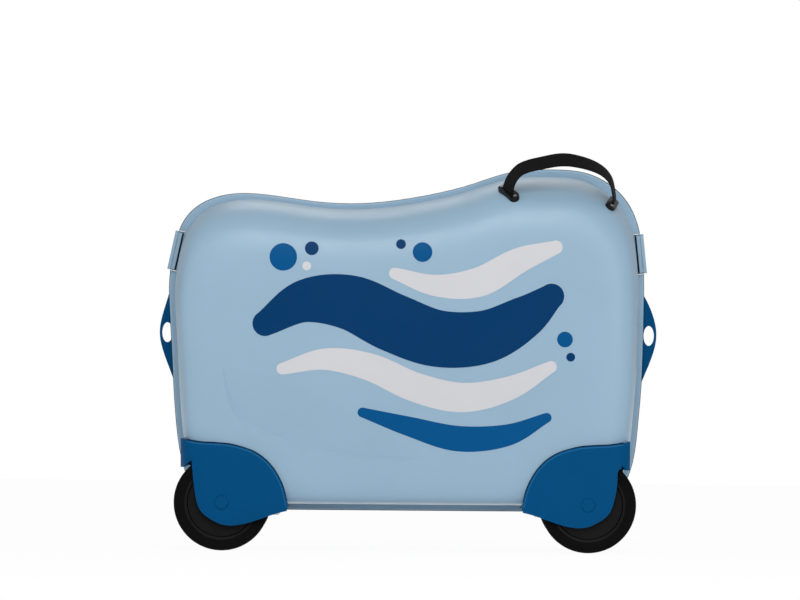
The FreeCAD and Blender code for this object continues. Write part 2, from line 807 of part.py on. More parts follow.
def latch_rivet_places(side, front):
    """Places of a keeper's or a latch base's two rivets, on the chord of the rim."""
    y = (keeper_front_y() + keeper_back_y) / 2 if front else latch_pin_y + 6.2
    origin, along, outwards = latch_frame(side)
    ends = (-latch_rivet_reach, latch_rivet_reach)
    return [origin + along * a + Vector(0, y, 0) for a in ends]


def latch_rivet_bars(side, radius, front):
    """Bars through the shell's side for the rivets of a keeper or a latch base."""
    outwards = latch_frame(side)[2]
    return [
        cylinder(radius, place - outwards * 20, outwards, 30)
        for place in latch_rivet_places(side, front)
    ]


def wall_hit(solid, start, direction):
    """Where a line from inside a solid leaves it."""
    hits = Part.makeLine(start, start + direction * BIG).common(solid)
    return max((v.Point for v in hits.Vertexes), key=lambda point: point.dot(direction))


def keeper_front_y():
    """Front edge of a latch keeper, under the hook."""
    return latch_front_y + 1.0


def latch_rivets(front):
    """Rivets of both keepers, heads sunk, or of both latch bases: one head outside, one inside the shell."""
    top = keeper_top - latch_rivet_head
    if not front:
        top = latch_notch_floor + latch_seat_gap + latch_base_thickness
    room = INNER_DOME if front else mirrored(INNER_DOME)
    rivets = []
    for side in (-1, 1):
        outwards = latch_frame(side)[2]
        for place in latch_rivet_places(side, front):
            inner = wall_hit(room, place - outwards * 30, outwards)
            low = (inner - place).dot(outwards) - 0.3
            pin = cylinder(latch_rivet_r, place + outwards * low, outwards, top - low)
            head = cylinder(latch_rivet_head_r, place + outwards * top, outwards, latch_rivet_head)
            foot_at = place + outwards * (low - latch_rivet_head)
            foot = cylinder(latch_rivet_head_r, foot_at, outwards, latch_rivet_head)
            rivets.append(joined([pin, head, foot]))
    return group(rivets)


def latch_lever(side):
    """Latch lever: outer plate, hook at its front end and hinge barrel at its back end."""
    n1 = latch_proud
    n0 = latch_proud - latch_plate
    plate = latch_block(side, -latch_half, latch_half, latch_front_y, latch_pin_y, n0, n1)
    hook = latch_block(
        side, -latch_half, latch_half, latch_front_y, latch_front_y + latch_hook_length,
        n1 - latch_plate - latch_hook_depth, n1,
    )
    ear = latch_half - latch_ear - 0.3
    barrel = latch_bar(side, -ear, ear, latch_pin_y, latch_pin_n, latch_barrel_r)
    web = latch_block(side, -ear, ear, latch_pin_y - latch_barrel_r, latch_pin_y, latch_pin_n, n1)
    lever = plate.fuse([hook, barrel, web])
    for s in (-1, 1):
        a0 = s * ear
        a1 = s * (latch_half + 3)
        lever = lever.cut(
            latch_block(side, min(a0, a1), max(a0, a1), latch_pin_y - latch_barrel_r - 0.8, 30, -12, 12)
        )
    lever = lever.cut(latch_bar(side, -50, 50, latch_pin_y, latch_pin_n, latch_pin_r + running_gap))
    return lever.removeSplitter()


def latch_base(side):
    """Base on the rear shell's side with two ears round the lever's barrel."""
    floor = latch_notch_floor + latch_seat_gap
    back_y = latch_pin_y + 9.5
    plate = latch_block(
        side, -latch_half, latch_half, rim_depth + half_gap + 0.3, back_y, floor - 6,
        floor + latch_base_thickness,
    )
    ears = []
    for s in (-1, 1):
        a0 = s * (latch_half - latch_ear)
        a1 = s * latch_half
        ears.append(
            latch_block(
                side, min(a0, a1), max(a0, a1),
                latch_pin_y - 3, latch_pin_y + 3, floor, latch_pin_n + latch_barrel_r - 0.2,
            ),
        )
    base = plate.fuse(ears)
    base = base.cut(mirrored(CLEAR_DOME))
    base = base.cut(latch_bar(side, -50, 50, latch_pin_y, latch_pin_n, latch_pin_r + running_gap))
    for bar in latch_rivet_bars(side, latch_rivet_r + 0.05, False):
        base = base.cut(bar)
    return base.removeSplitter()


def latch_pin(side):
    """Pin through the ears and the lever's barrel."""
    return latch_bar(side, -latch_half, latch_half, latch_pin_y, latch_pin_n, latch_pin_r)


def latch_keeper(side):
    """Keeper under the hook: a strip on the front shell's side that runs on into the notch."""
    floor = latch_notch_floor + latch_seat_gap
    top = keeper_top
    half = keeper_length / 2
    rim_front = -rim_depth - half_gap
    strip = latch_block(side, -half, half, keeper_front_y(), rim_front, floor - 8, top).cut(CLEAR_DOME)
    strip = strip.fuse(latch_block(side, -half, half, rim_front, keeper_back_y, floor, top))
    for bar in latch_rivet_bars(side, latch_rivet_r + 0.05, True):
        strip = strip.cut(bar)
    outwards = latch_frame(side)[2]
    for place in latch_rivet_places(side, True):
        sink = place + outwards * (top - latch_rivet_head)
        strip = strip.cut(cylinder(latch_rivet_head_r + 0.05, sink, outwards, BIG))
    groove = latch_block(
        side, -half - 1, half + 1, keeper_front_y() - 1, keeper_groove_back, floor - 9,
        keeper_groove_top,
    )
    return strip.cut(groove).removeSplitter()


def lug_outline(side):
    """Closed outline of a tow lug: bulging outwards, straight at its root inside the rim."""
    top = Vector(rim_x(lug_top_z, side), 0, lug_top_z)
    bottom = Vector(rim_x(lug_bottom_z, side), 0, lug_bottom_z)
    points = [top, Vector(side * (lug_reach - 2.9), 0, lug_z + 18.5), Vector(side * lug_reach, 0, lug_z)]
    points += [Vector(side * (lug_reach - 3.6), 0, lug_z - 19.0), bottom]
    curve = Part.BSplineCurve()
    curve.interpolate(points)
    inwards = Vector(-side * lug_root, 0, 0)
    edges = [curve.toShape(), Part.makeLine(bottom, bottom + inwards)]
    edges += [Part.makeLine(bottom + inwards, top + inwards), Part.makeLine(top + inwards, top)]
    return Part.Wire(edges)


def lug_pocket(side):
    """Pocket for a lug's root in the rear rim, open outwards."""
    depth = lug_front_y + lug_thickness + 0.2
    top = Vector(rim_x(lug_top_z, side), 0, lug_top_z + fit_gap)
    bottom = Vector(rim_x(lug_bottom_z, side), 0, lug_bottom_z - fit_gap)
    inwards = Vector(-side * (lug_root + fit_gap), 0, 0)
    corners = [top + inwards, bottom + inwards, bottom - inwards, top - inwards]
    return Part.Face(Part.makePolygon(corners + corners[:1])).extrude(Vector(0, depth, 0))


def lug_rivet_bars(side, radius, y0, y1):
    """Bars along Y at a lug's two rivets."""
    bars = []
    for s in (-1, 1):
        z = lug_z + s * lug_rivet_pitch / 2
        bars.append(y_bar(radius, rim_x(z, side) - side * lug_rivet_inset, z, y0, y1))
    return bars


def tow_lug(side):
    """Tow lug plate with its oval hole."""
    plate = Part.Face(lug_outline(side)).extrude(Vector(0, lug_thickness, 0))
    plate.translate(Vector(0, lug_front_y, 0))
    x = side * (lug_reach - lug_ring - lug_hole_width / 2)
    hole = Part.makeCylinder(1, 30, Vector(0, 0, -10))
    stretch = Matrix()
    stretch.scale(lug_hole_width / 2, lug_hole_height / 2, 1)
    hole = hole.transformGeometry(stretch)
    hole = in_frame(hole, Vector(x, 0, lug_z), Vector(1, 0, 0), Vector(0, 0, 1), Vector(0, 1, 0))
    plate = plate.cut(hole)
    for bar in lug_rivet_bars(side, lug_rivet_r + 0.05, -5, 30):
        plate = plate.cut(bar)
    for bar in lug_rivet_bars(side, lug_rivet_head_r + 0.1, -5, lug_front_y + lug_rivet_head + 0.1):
        plate = plate.cut(bar)
    return plate


def lug_rivets():
    """Two rivets through each lug and the rear rim."""
    rivets = []
    for side in (-1, 1):
        shanks = lug_rivet_bars(side, lug_rivet_r, lug_front_y + 0.1, rim_depth + 0.2 + lug_rivet_head)
        fronts = lug_rivet_bars(side, lug_rivet_head_r, lug_front_y + 0.1, lug_front_y + lug_rivet_head)
        backs = lug_rivet_bars(side, lug_rivet_head_r, rim_depth + 0.2, rim_depth + 0.2 + lug_rivet_head)
        for pieces in zip(shanks, fronts, backs):
            rivets.append(joined(list(pieces)))
    return group(rivets)


def handle_sections():
    """Centres, width directions and set path directions of the webbing, from inside the shell to inside again."""
    low, low_normal, low_width = handle_anchor_frame(0)
    high, high_normal, high_width = handle_anchor_frame(2)
    top_width = Vector(*HANDLE_WIDTH_DIRECTIONS[1]).normalize()
    sections = [(low + low_normal * h, low_width, low_normal) for h in handle_straight]
    count = len(HANDLE_LINE)
    for i in range(1, count - 1):
        t = i / (count - 1)
        x, z = HANDLE_LINE[i]
        y = low.y + (high.y - low.y) * t - handle_lean * math.sin(math.pi * t) ** 0.8
        if t < 0.45:
            share = math.sin(t / 0.45 * math.pi / 2)
            width = low_width * (1 - share) + top_width * share
        else:
            share = math.sin((1 - t) / 0.55 * math.pi / 2)
            width = high_width * (1 - share) + top_width * share
        sections.append((Vector(x, y, z), width.normalize(), None))
    sections += [
        (high + high_normal * h, high_width, high_normal * -1)
        for h in reversed(handle_straight)
    ]
    return sections


def handle_webbing():
    """Webbing strap: one smooth band through rectangles set across its path."""
    sections = handle_sections()
    wires = []
    for i, (centre, width, along) in enumerate(sections):
        if along is None:
            along = (sections[i + 1][0] - sections[i - 1][0]).normalize()
        width = (width - along * width.dot(along)).normalize()
        across = along.cross(width)
        w = width * (handle_width / 2)
        h = across * (handle_thickness / 2)
        corners = [centre + w + h, centre - w + h, centre - w - h, centre + w - h]
        wires.append(Part.makePolygon(corners + corners[:1]))
    return Part.makeLoft(wires, True, False)


def handle_anchor(end):
    """Anchor plate over the shell with a slot for the webbing."""
    plate = anchor_slab(end, anchor_length, anchor_width, -3, anchor_thickness)
    plate = plate.cut(CLEAR_DOME).cut(handle_slot(end, anchor_slot_gap))
    for offset in (-handle_rivet_offset, handle_rivet_offset):
        plate = plate.cut(anchor_bar(end, offset, -20, 20, handle_rivet_r + 0.05))
    return plate


def backing_top(end):
    """Height of the shell's inner surface over a handle anchor's surface point: below zero."""
    surface, normal, along = handle_anchor_frame(end)
    inside = wall_hit(INNER_DOME, surface - normal * 20, normal)
    return (inside - surface).dot(normal)


def handle_backing(end):
    """Backing plate against the inside of the shell under an anchor."""
    plate = anchor_slab(end, anchor_length, anchor_width, backing_top(end) - backing_thickness, 0)
    plate = plate.common(INNER_CLEAR).cut(handle_slot(end, anchor_slot_gap))
    for offset in (-handle_rivet_offset, handle_rivet_offset):
        plate = plate.cut(anchor_bar(end, offset, -20, 20, handle_rivet_r + 0.05))
    return plate


def handle_rivets():
    """Two rivets through each anchor, the shell and the backing plate."""
    rivets = []
    for end in (0, 2):
        low = backing_top(end) - backing_thickness
        high = anchor_thickness + handle_rivet_head
        for offset in (-handle_rivet_offset, handle_rivet_offset):
            shank = anchor_bar(end, offset, low - handle_rivet_head, high, handle_rivet_r)
            foot = anchor_bar(end, offset, low - handle_rivet_head, low, handle_rivet_head_r)
            head = anchor_bar(end, offset, anchor_thickness, high, handle_rivet_head_r)
            rivets.append(joined([shank, foot, head]))
    return group(rivets)


def strap_end_x(side):
    """Where the rear shell's inner side wall is met at the strap's height and depth."""
    line = Part.makeLine(Vector(0, -strap_y, strap_z), Vector(side * BIG, -strap_y, strap_z))
    hits = INNER_DOME.common(line)
    return max(hits.Vertexes, key=lambda v: side * v.X).X


def strap_band(x0, x1):
    """Flat stretch of packing strap."""
    y0 = strap_y - strap_thickness / 2
    return box(x0, x1, y0, y0 + strap_thickness, strap_z - strap_width / 2, strap_z + strap_width / 2)


def strap_clamp(side):
    """Clamp on the side wall that holds a strap's end."""
    x = strap_end_x(side)
    half = clamp_width / 2
    y0 = strap_y - clamp_thickness / 2
    block = box(
        x + side * 6, x - side * clamp_length, y0, y0 + clamp_thickness, strap_z - half, strap_z + half,
    )
    block = block.common(mirrored(INNER_CLEAR))
    slot = box(
        x - side * 2, x - side * (clamp_length + 1), strap_y - 1.1, strap_y + 1.1, strap_z - 13,
        strap_z + 13,
    )
    return block.cut(slot)


def buckle_socket():
    """Socket of the side-release buckle, open towards the plug and at both sides."""
    half = buckle_width / 2
    y0 = strap_y - buckle_thickness / 2
    body = box(-socket_length, 0, y0, y0 + buckle_thickness, strap_z - half, strap_z + half)
    body = body.makeFillet(2.0, [e for e in body.Edges if e.BoundBox.XLength > socket_length - 1])
    room_half = half - 3.0
    room = box(
        -prong_length - 3, 1, strap_y - 2.4, strap_y + 2.4, strap_z - room_half, strap_z + room_half,
    )
    window = box(
        -prong_length, -prong_length + 11, strap_y - 2.4, strap_y + 2.4, strap_z - half - 1,
        strap_z + half + 1,
    )
    slot = box(
        -socket_length - 1, -socket_length + 7, strap_y - 1.1, strap_y + 1.1, strap_z - 13, strap_z + 13,
    )
    return body.cut(room).cut(window).cut(slot)


def buckle_plug():
    """Plug of the buckle with a middle guide and two springy prongs."""
    half = buckle_width / 2
    y0 = strap_y - buckle_thickness / 2
    head = box(0.4, plug_length, y0 + 1, y0 + buckle_thickness - 1, strap_z - half, strap_z + half)
    head = head.cut(
        box(plug_length - 7, plug_length + 1, strap_y - 1.1, strap_y + 1.1, strap_z - 13, strap_z + 13)
    )
    head = head.makeFillet(
        1.5,
        [
            e for e in head.Edges
            if e.BoundBox.XLength > plug_length - 2 and abs(abs(e.BoundBox.Center.z - strap_z) - half) < 0.1
        ]
    )
    guide = box(-prong_length + 4, 1, strap_y - 1.6, strap_y + 1.6, strap_z - 2.5, strap_z + 2.5)
    parts = [head, guide]
    for s in (-1, 1):
        arm = box(
            -prong_length + 6, 1, strap_y - 1.6, strap_y + 1.6, strap_z + s * 8.0, strap_z + s * 11.5,
        )
        tip = box(
            -prong_length + 1, -prong_length + 9, strap_y - 1.6, strap_y + 1.6, strap_z + s * 8.0,
            strap_z + s * (half - 0.6),
        )
        parts += [arm, tip]
    return joined(parts)


DOME = dome(shell_depth, 0.0, face_crown)
CLEAR_DOME = dome(shell_depth, 0.15, face_crown)
INNER_DOME = dome(shell_depth - wall, -wall, face_crown, depth_start=-5.0)
INNER_CLEAR = dome(shell_depth - wall, -wall - 0.15, face_crown, depth_start=-5.0)


def build():
    """Every node by name."""
    nodes = {}
    nodes["front_shell"] = shell(True)
    nodes["rear_shell"] = shell(False)
    nodes["rim_seal"] = rim_seal()
    screws = housing_screws()
    nodes["front_housing_screws"] = group(screws)
    nodes["rear_housing_screws"] = group([mirrored(s) for s in screws])
    rings = [axle_ring(WHEEL_X[side]) for side in (-1, 1)]
    nodes["front_axle_rings"] = group(rings)
    nodes["rear_axle_rings"] = group([mirrored(r) for r in rings])
    for side in (-1, 1):
        x = WHEEL_X[side]
        parts = {"wheel_housing": wheel_housing(side), "axle": axle(x), "tyre": tyre(x)}
        parts["hub"] = hub(x)
        parts["wheel_bush"] = bush(x)
        for name, shape in parts.items():
            nodes["front_%s_%s" % (name, SIDE_NAMES[side])] = shape
            nodes["rear_%s_%s" % (name, SIDE_NAMES[side])] = mirrored(shape)
        nodes["tow_lug_" + SIDE_NAMES[side]] = tow_lug(side)
        nodes["latch_lever_" + SIDE_NAMES[side]] = latch_lever(side)
        nodes["latch_base_" + SIDE_NAMES[side]] = latch_base(side)
        nodes["latch_pin_" + SIDE_NAMES[side]] = latch_pin(side)
        nodes["latch_keeper_" + SIDE_NAMES[side]] = latch_keeper(side)
    nodes["tow_lug_rivets"] = lug_rivets()
    nodes["latch_rivets_front"] = latch_rivets(True)
    nodes["latch_rivets_rear"] = latch_rivets(False)
    nodes["hinge_leaves_front"] = hinge_leaf(True)
    nodes["hinge_leaves_rear"] = hinge_leaf(False)
    nodes["hinge_rivets_front"] = leaf_rivets(True)
    nodes["hinge_rivets_rear"] = leaf_rivets(False)
    nodes["hinge_pins"] = hinge_pins()
    nodes["handle_webbing"] = handle_webbing()
    nodes["handle_anchor_left"] = handle_anchor(0)
    nodes["handle_anchor_right"] = handle_anchor(2)
    nodes["handle_backing_plates"] = group([handle_backing(0), handle_backing(2)])
    nodes["handle_rivets"] = handle_rivets()
    left = strap_end_x(-1)
    right = strap_end_x(1)
    nodes["packing_strap_left"] = strap_band(left + 3, -socket_length + 5)
    nodes["packing_strap_right"] = strap_band(plug_length - 5, right - 3)
    nodes["strap_clamps"] = group([strap_clamp(-1), strap_clamp(1)])
    nodes["buckle_socket"] = buckle_socket()
    nodes["buckle_plug"] = buckle_plug()
    return nodes


os.makedirs("parts", exist_ok=True)
for name, shape in build().items():
    shape.exportStep("parts/%s.step" % name)
    print(name, "solids", len(shape.Solids), "valid", shape.isValid(), "volume %.0f" % shape.Volume)
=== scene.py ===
"""Looks of the ride-on suitcase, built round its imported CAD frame."""
import json
import math

import bmesh
import bpy
from mathutils import Matrix, Vector
from mathutils.bvhtree import BVHTree
from mathutils.geometry import delaunay_2d_cdt


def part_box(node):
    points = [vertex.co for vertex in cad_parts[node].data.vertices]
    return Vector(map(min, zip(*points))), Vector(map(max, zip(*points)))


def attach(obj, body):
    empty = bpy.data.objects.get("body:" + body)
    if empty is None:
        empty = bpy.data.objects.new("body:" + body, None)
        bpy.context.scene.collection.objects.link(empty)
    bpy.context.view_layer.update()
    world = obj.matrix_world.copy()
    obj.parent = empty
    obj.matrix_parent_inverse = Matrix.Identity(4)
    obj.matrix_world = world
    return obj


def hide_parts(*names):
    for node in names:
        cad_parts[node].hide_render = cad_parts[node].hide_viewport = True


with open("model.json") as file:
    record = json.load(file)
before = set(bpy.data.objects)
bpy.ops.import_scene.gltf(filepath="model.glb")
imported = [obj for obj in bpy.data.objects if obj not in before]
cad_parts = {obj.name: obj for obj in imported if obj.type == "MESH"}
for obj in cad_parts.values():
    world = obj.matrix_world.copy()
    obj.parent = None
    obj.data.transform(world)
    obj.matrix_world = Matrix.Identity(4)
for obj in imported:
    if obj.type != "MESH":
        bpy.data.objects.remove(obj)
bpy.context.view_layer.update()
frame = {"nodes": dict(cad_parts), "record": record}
nodes = frame["nodes"]
slot_of = {part["node"]: part["material_slot"] for part in frame["record"]["subparts"]}
body_of = {n: b for b, members in frame["record"]["behaviour"]["bodies"].items() for n in members}
MM = 0.001

# Photograph: millimetres per pixel at the front face, roll, width in pixels, and its middle in pixels
# from the point that shows the frame's origin, with a last shift in millimetres
PHOTO_SCALE = 1.02
PHOTO_ROLL = math.radians(0.45)
PHOTO_WIDTH = 800
PHOTO_MIDDLE = (-8, 252)
PHOTO_SHIFT = 1.6

# Camera's distance from the parting plane, the front face's, and the sensor's width
CAMERA_FROM = 12.1
FACE_FROM = 0.1
SENSOR = 36.0

# Colours of the shells, the wheel covers and the inks, in sRGB

SHELL = (148, 178, 200)
COVER = (0, 76, 125)
NAVY = (0, 56, 103)
PALE = (208, 208, 212)
BLUE = (0, 82, 138)


def linear(rgb):
    """A colour written in sRGB, 0 to 255, as Blender's linear colour."""
    out = []
    for value in rgb:
        c = value / 255
        out.append(c / 12.92 if c <= 0.04045 else ((c + 0.055) / 1.055) ** 2.4)
    return (*out, 1.0)


class Shader:
    """A small helper that adds and links a material's nodes."""

    def __init__(self, name):
        self.material = bpy.data.materials.new(name)
        self.material.use_nodes = True
        self.tree = self.material.node_tree
        self.bsdf = self.tree.nodes["Principled BSDF"]
        self.place = self.add("ShaderNodeTexCoord").outputs["Object"]

    def add(self, kind, **settings):
        node = self.tree.nodes.new(kind)
        for key, value in settings.items():
            setattr(node, key, value)
        return node

    def put(self, socket, value):
        if isinstance(value, bpy.types.NodeSocket):
            self.tree.links.new(value, socket)
        else:
            socket.default_value = value

    def noise(self, scale, detail=2.0, roughness=0.5):
        node = self.add("ShaderNodeTexNoise")
        self.put(node.inputs["Vector"], self.place)
        node.inputs["Scale"].default_value = scale
        node.inputs["Detail"].default_value = detail
        node.inputs["Roughness"].default_value = roughness
        return node.outputs["Fac"]

    def math(self, operation, a, b=0.0):
        node = self.add("ShaderNodeMath", operation=operation)
        self.put(node.inputs[0], a)
        self.put(node.inputs[1], b)
        return node.outputs[0]

    def spread(self, value, low, high, start=0.3, end=0.7):
        node = self.add("ShaderNodeMapRange")
        self.put(node.inputs["Value"], value)
        node.inputs["From Min"].default_value = start
        node.inputs["From Max"].default_value = end
        node.inputs["To Min"].default_value = low
        node.inputs["To Max"].default_value = high
        return node.outputs["Result"]

    def tint(self, rgb, amount, scale):
        """A colour that drifts a little lighter and darker over the surface."""
        mix = self.add("ShaderNodeMix", data_type="RGBA")
        colour = linear(rgb)
        self.put(mix.inputs["Factor"], self.spread(self.noise(scale, 3.0), 0.0, 1.0))
        mix.inputs[6].default_value = (*[c * (1 - amount) for c in colour[:3]], 1)
        mix.inputs[7].default_value = (*[min(1, c * (1 + amount)) for c in colour[:3]], 1)
        return mix.outputs[2]

    def bump(self, height, strength, distance, under=None):
        node = self.add("ShaderNodeBump")
        node.inputs["Strength"].default_value = strength
        node.inputs["Distance"].default_value = distance
        self.put(node.inputs["Height"], height)
        if under is not None:
            self.tree.links.new(under, node.inputs["Normal"])
        return node.outputs["Normal"]


def plastic(name, rgb, rough, grain=0.06, drift=0.025, coat=0.0, grain_scale=1500.0, specular=0.5):
    """Moulded plastic: faint drift of tone, fine moulded grain, and a gloss that varies a little."""
    s = Shader(name)
    b = s.bsdf.inputs
    s.put(b["Base Color"], s.tint(rgb, drift, 9.0))
    s.put(b["Roughness"], s.spread(s.noise(45.0, 4.0), rough - 0.04, rough + 0.05))
    wide = s.bump(s.noise(22.0, 1.0), 0.08, 0.0006)
    s.put(b["Normal"], s.bump(s.noise(grain_scale, 2.0), grain, 0.00012, wide))
    b["Coat Weight"].default_value = coat
    b["Coat Roughness"].default_value = 0.2
    b["Specular IOR Level"].default_value = specular
    return s.material


def metal(name, rgb, rough):
    """Plated steel: drawn streaks and small stains in the gloss."""
    s = Shader(name)
    b = s.bsdf.inputs
    s.put(b["Base Color"], s.tint(rgb, 0.06, 60.0))
    s.put(b["Roughness"], s.spread(s.noise(220.0, 5.0), rough - 0.08, rough + 0.12))
    s.put(b["Normal"], s.bump(s.noise(2600.0, 2.0), 0.12, 0.00005))
    b["Metallic"].default_value = 1.0
    return s.material


def rubber(name, rgb, rough, grain=0.25):
    """Rubber: matt, with a fine pebbled skin and a tone that drifts a little lighter and darker."""
    s = Shader(name)
    b = s.bsdf.inputs
    s.put(b["Base Color"], s.tint(rgb, 0.18, 70.0))
    s.put(b["Roughness"], s.spread(s.noise(160.0, 3.0), rough - 0.06, rough + 0.08))
    b["Specular IOR Level"].default_value = 0.06
    s.put(b["Normal"], s.bump(s.noise(1900.0, 3.0), grain, 0.0001))
    return s.material


def cloth(name, rgb, thread=620.0):
    """Woven webbing: yarns across and along over the modelled ribs, with painted shade in the gaps between
    the yarns, painted light on their tops, and a soft sheen.
    """
    s = Shader(name)
    b = s.bsdf.inputs
    weave = s.add("ShaderNodeTexVoronoi", feature="DISTANCE_TO_EDGE")
    s.put(weave.inputs["Vector"], s.place)
    weave.inputs["Scale"].default_value = thread
    yarn = s.spread(weave.outputs["Distance"], 0.0, 1.0, 0.0, 0.35)
    # Painted shade and highlight: the base colour is darkened in the gaps between yarns and lightened on the
    # yarn tops.
    yarn_shade = s.add("ShaderNodeMix", data_type="RGBA")
    s.put(yarn_shade.inputs[0], yarn)
    colour = linear(rgb)
    yarn_shade.inputs[6].default_value = (*[c * 0.55 for c in colour[:3]], 1)
    yarn_shade.inputs[7].default_value = (*[min(1, c * 1.3) for c in colour[:3]], 1)
    s.put(b["Base Color"], yarn_shade.outputs[2])
    s.put(b["Roughness"], s.spread(s.noise(300.0, 3.0), 0.68, 0.86))
    s.put(b["Normal"], s.bump(yarn, 0.35, 0.00015))
    b["Sheen Weight"].default_value = 0.06
    b["Sheen Roughness"].default_value = 0.4
    b["Specular IOR Level"].default_value = 0.12
    return s.material


MATERIALS = {
    "shell_plastic": plastic("shell", SHELL, 0.33, grain=0.05, drift=0.02, specular=0.4),
    "cover_plastic": plastic("cover", COVER, 0.42, grain=0.10, drift=0.04, specular=0.04),
    "latch_plastic": plastic("latch", (150, 178, 198), 0.34, grain=0.05, specular=0.35),
    "fitting_plastic": plastic("fitting", (34, 52, 72), 0.45, specular=0.1),
    "seal_rubber": rubber("seal", (16, 32, 50), 0.6),
    "tyre_rubber": rubber("tyre", (7, 7, 7), 0.62),
    "hub_plastic": plastic("hub", (8, 8, 9), 0.34, grain=0.12, drift=0.08, specular=0.14),
    "bush_plastic": plastic("bush", (190, 190, 184), 0.4),
    "axle_steel": metal("axle", (170, 172, 175), 0.3),
    "plated_steel": metal("plated", (180, 182, 185), 0.34),
    "handle_webbing": cloth("webbing", (15, 15, 17)),
    "anchor_plastic": plastic("anchor", (8, 8, 9), 0.28, grain=0.08, drift=0.08, specular=0.2),
    "lining_webbing": cloth("lining", (30, 36, 46)),
}
INKS = {
    "navy": plastic("ink_navy", NAVY, 0.36, grain=0.03, drift=0.03, specular=0.06),
    "pale": plastic("ink_pale", PALE, 0.34, grain=0.03, drift=0.015, specular=0.35),
    "blue": plastic("ink_blue", BLUE, 0.36, grain=0.03, drift=0.03, specular=0.06),
}
for name, node in nodes.items():
    node.data.materials.clear()
    node.data.materials.append(MATERIALS[slot_of[name]])
for name in ("front_axle_left", "front_axle_right", "rear_axle_left", "rear_axle_right"):
    nodes[name].data.materials[0] = MATERIALS["cover_plastic"]


def piece(name, verts, faces, material, body, smooth=True):
    """A new mesh piece that rides on a body."""
    mesh = bpy.data.meshes.new(name)
    mesh.from_pydata([tuple(v) for v in verts], [], faces)
    mesh.materials.append(material)
    made = bpy.data.objects.new(name, mesh)
    bpy.context.scene.collection.objects.link(made)
    for polygon in mesh.polygons:
        polygon.use_smooth = smooth
    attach(made, body)
    return made


def surface_tree(name):
    """A ray tree over a CAD node's mesh."""
    mesh = nodes[name].data
    corners = [v.co.copy() for v in mesh.vertices]
    return BVHTree.FromPolygons(corners, [tuple(p.vertices) for p in mesh.polygons])


def smooth_run(points, per_span=10):
    """A run of points on a smooth curve through given ones."""
    padded = [2 * points[0] - points[1], *points, 2 * points[-1] - points[-2]]
    out = []
    for i in range(1, len(padded) - 2):
        a, b, c, d = padded[i - 1:i + 3]
        for k in range(per_span):
            t = k / per_span
            square, cube = 2 * a - 5 * b + 4 * c - d, 3 * b - a - 3 * c + d
            out.append(0.5 * (2 * b + (c - a) * t + square * t * t + cube * t ** 3))
    return out + [points[-1]]


# Printed design: rolling ribbons and bubbles, in millimetres on the face
def ribbon(line, halves):
    """Closed outline of a band with round ends: a centre line and its half widths."""
    centre = smooth_run([Vector(p) for p in line])
    half = [v.x for v in smooth_run([Vector((h, 0)) for h in halves])]
    over, under = [], []
    for i, point in enumerate(centre):
        along = (centre[min(i + 1, len(centre) - 1)] - centre[max(i - 1, 0)]).normalized()
        across = Vector((-along.y, along.x))
        over.append(point + across * half[i])
        under.append(point - across * half[i])
        if i == 0:
            start = (point, along, half[i])
        end = (point, along, half[i])
    caps = []
    for (point, along, size), sign in ((end, 1), (start, -1)):
        across = Vector((-along.y, along.x)) * sign
        turn = [math.pi * k / 10 for k in range(1, 10)]
        caps.append([point + (across * math.cos(a) + along * sign * math.sin(a)) * size for a in turn])
    return over + caps[0] + under[::-1] + caps[1]


def disc(x, z, radius, count=56):
    """Closed outline of a round spot."""
    angles = [2 * math.pi * k / count for k in range(count)]
    return [Vector((x + radius * math.cos(a), z + radius * math.sin(a))) for a in angles]


DESIGN = [
    ("ribbon_navy", "navy", ribbon(
        [(-146, 232), (-106, 255), (-60, 254), (-16, 234), (30, 218), (78, 220), (118, 240), (146, 262)],
        [13, 22, 28, 30, 29, 27, 22, 13])),
    ("ribbon_pale_high", "pale", ribbon(
        [(-14, 284), (28, 272), (72, 276), (112, 298), (150, 312)], [6, 11, 15, 13, 7])),
    ("ribbon_pale_low", "pale", ribbon(
        [(-128, 186), (-84, 196), (-38, 188), (8, 168), (56, 158), (104, 168), (146, 190)],
        [6, 11, 14, 15, 15, 12, 6])),
    ("ribbon_blue", "blue", ribbon(
        [(-46, 142), (2, 128), (52, 116), (102, 120), (142, 138)], [5, 10, 13, 11, 5])),
    ("bubble_one", "blue", disc(-128, 300, 14)),
    ("bubble_two", "navy", disc(-99, 309, 7)),
    ("bubble_three", "pale", disc(-104, 291, 4.5)),
    ("bubble_four", "blue", disc(14, 306, 10)),
    ("bubble_five", "navy", disc(-8, 314, 5)),
    ("bubble_six", "blue", disc(160, 218, 8)),
    ("bubble_seven", "navy", disc(166, 200, 4.5)),
]

# Spacing of a print's inner points, and how far it lies over the shell, in millimetres
GRID = 5.0
INK_LIFT = 0.14

# A ray onto a shell or a cover starts this far from the parting plane, in metres
RAY_FROM = 0.3


def inside(point, loop):
    """Whether a point lies inside a closed outline."""
    hit = False
    for a, b in zip(loop, loop[1:] + loop[:1]):
        if (a.y > point.y) != (b.y > point.y):
            if point.x < (b.x - a.x) * (point.y - a.y) / (b.y - a.y) + a.x:
                hit = not hit
    return hit


